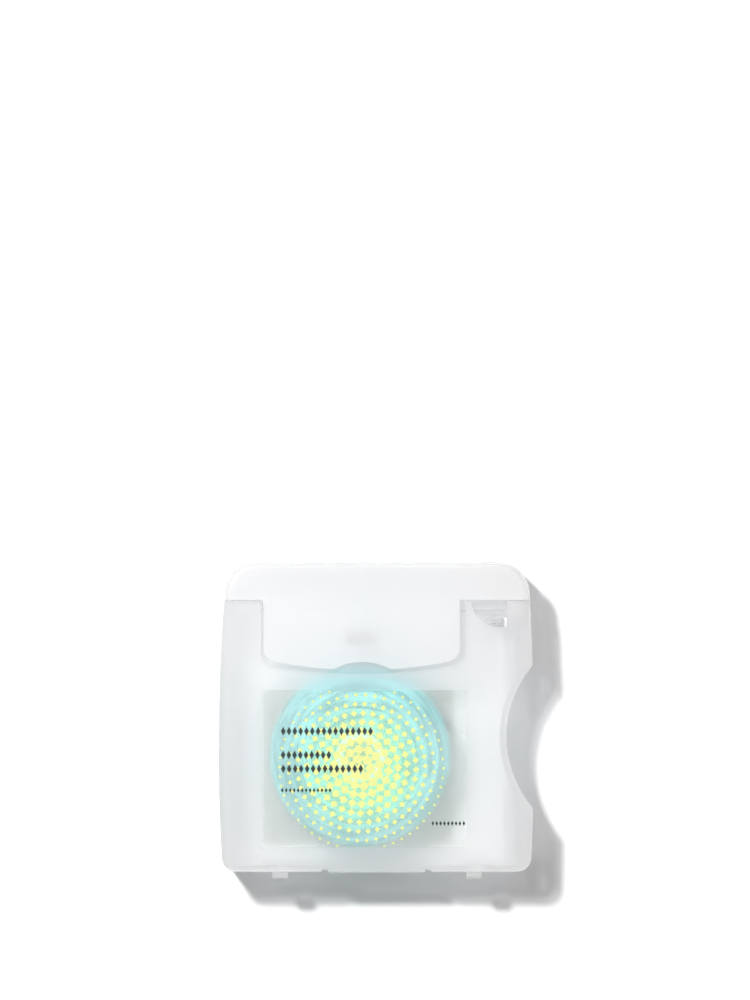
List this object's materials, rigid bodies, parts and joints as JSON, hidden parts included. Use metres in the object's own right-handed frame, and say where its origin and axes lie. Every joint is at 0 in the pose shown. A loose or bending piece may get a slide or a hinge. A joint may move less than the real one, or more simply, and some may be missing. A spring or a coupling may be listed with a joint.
{
  "type": "dental floss dispenser",
  "caption": "Flat flip-top floss case in frosted plastic: hinged front cover and lid, finger scallop, cutter under the flap, and a wound floss spool that turns on a post.",
  "frame": {"origin": "middle of the closed case's outline, on the back face that it lies on", "axes": "+Z from the back to the front face, +Y towards the flip lid, +X towards the finger scallop"},
  "size_m": [0.057, 0.0574, 0.0166],
  "materials": {
    "rear_shell": "frosted translucent moulded plastic",
    "front_shell": "frosted translucent moulded plastic",
    "lid_plastic": "milky translucent moulded plastic",
    "deck_plastic": "frosted translucent moulded plastic",
    "clear_plastic": "translucent moulded plastic, glossier where it is thin",
    "cutter_steel": "stamped thin steel",
    "floss": "waxed teal textured filament",
    "label_film": null,
    "back_label": "white printed film",
    "core_plastic": "white moulded plastic"
  },
  "bodies": {
    "case": {"rear_case": "rear_shell", "inner_deck": "deck_plastic", "latch_hook": "clear_plastic", "cutter": "cutter_steel", "floss_lead": "floss", "back_label": "back_label", "case_film_hinge": "clear_plastic", "lid_film_hinge": "clear_plastic"},
    "cover": {"front_cover": "front_shell", "cover_film_hinge": "clear_plastic", "cover_lug_left": "clear_plastic", "cover_lug_right": "clear_plastic", "front_label": "label_film"},
    "lid": {"flip_lid": "lid_plastic"},
    "spool": {"spool_core": "core_plastic", "floss_winding": "floss", "floss_turns": "floss"}
  },
  "joints": [
    {"name": "cover_hinge", "type": "hinge", "parent": "case", "child": "cover", "pos_m": [0, -0.0278, 0.013], "axis": [1, 0, 0], "range_deg": [0, 120]},
    {"name": "lid_hinge", "type": "hinge", "parent": "case", "child": "lid", "pos_m": [0, 0.0287, 0], "axis": [-1, 0, 0], "range_deg": [0, 90]},
    {"name": "spool_spin", "type": "hinge", "parent": "case", "child": "spool", "pos_m": [-0.00285, -0.0068, 0.008], "axis": [0, 0, 1], "continuous": true}
  ]
}
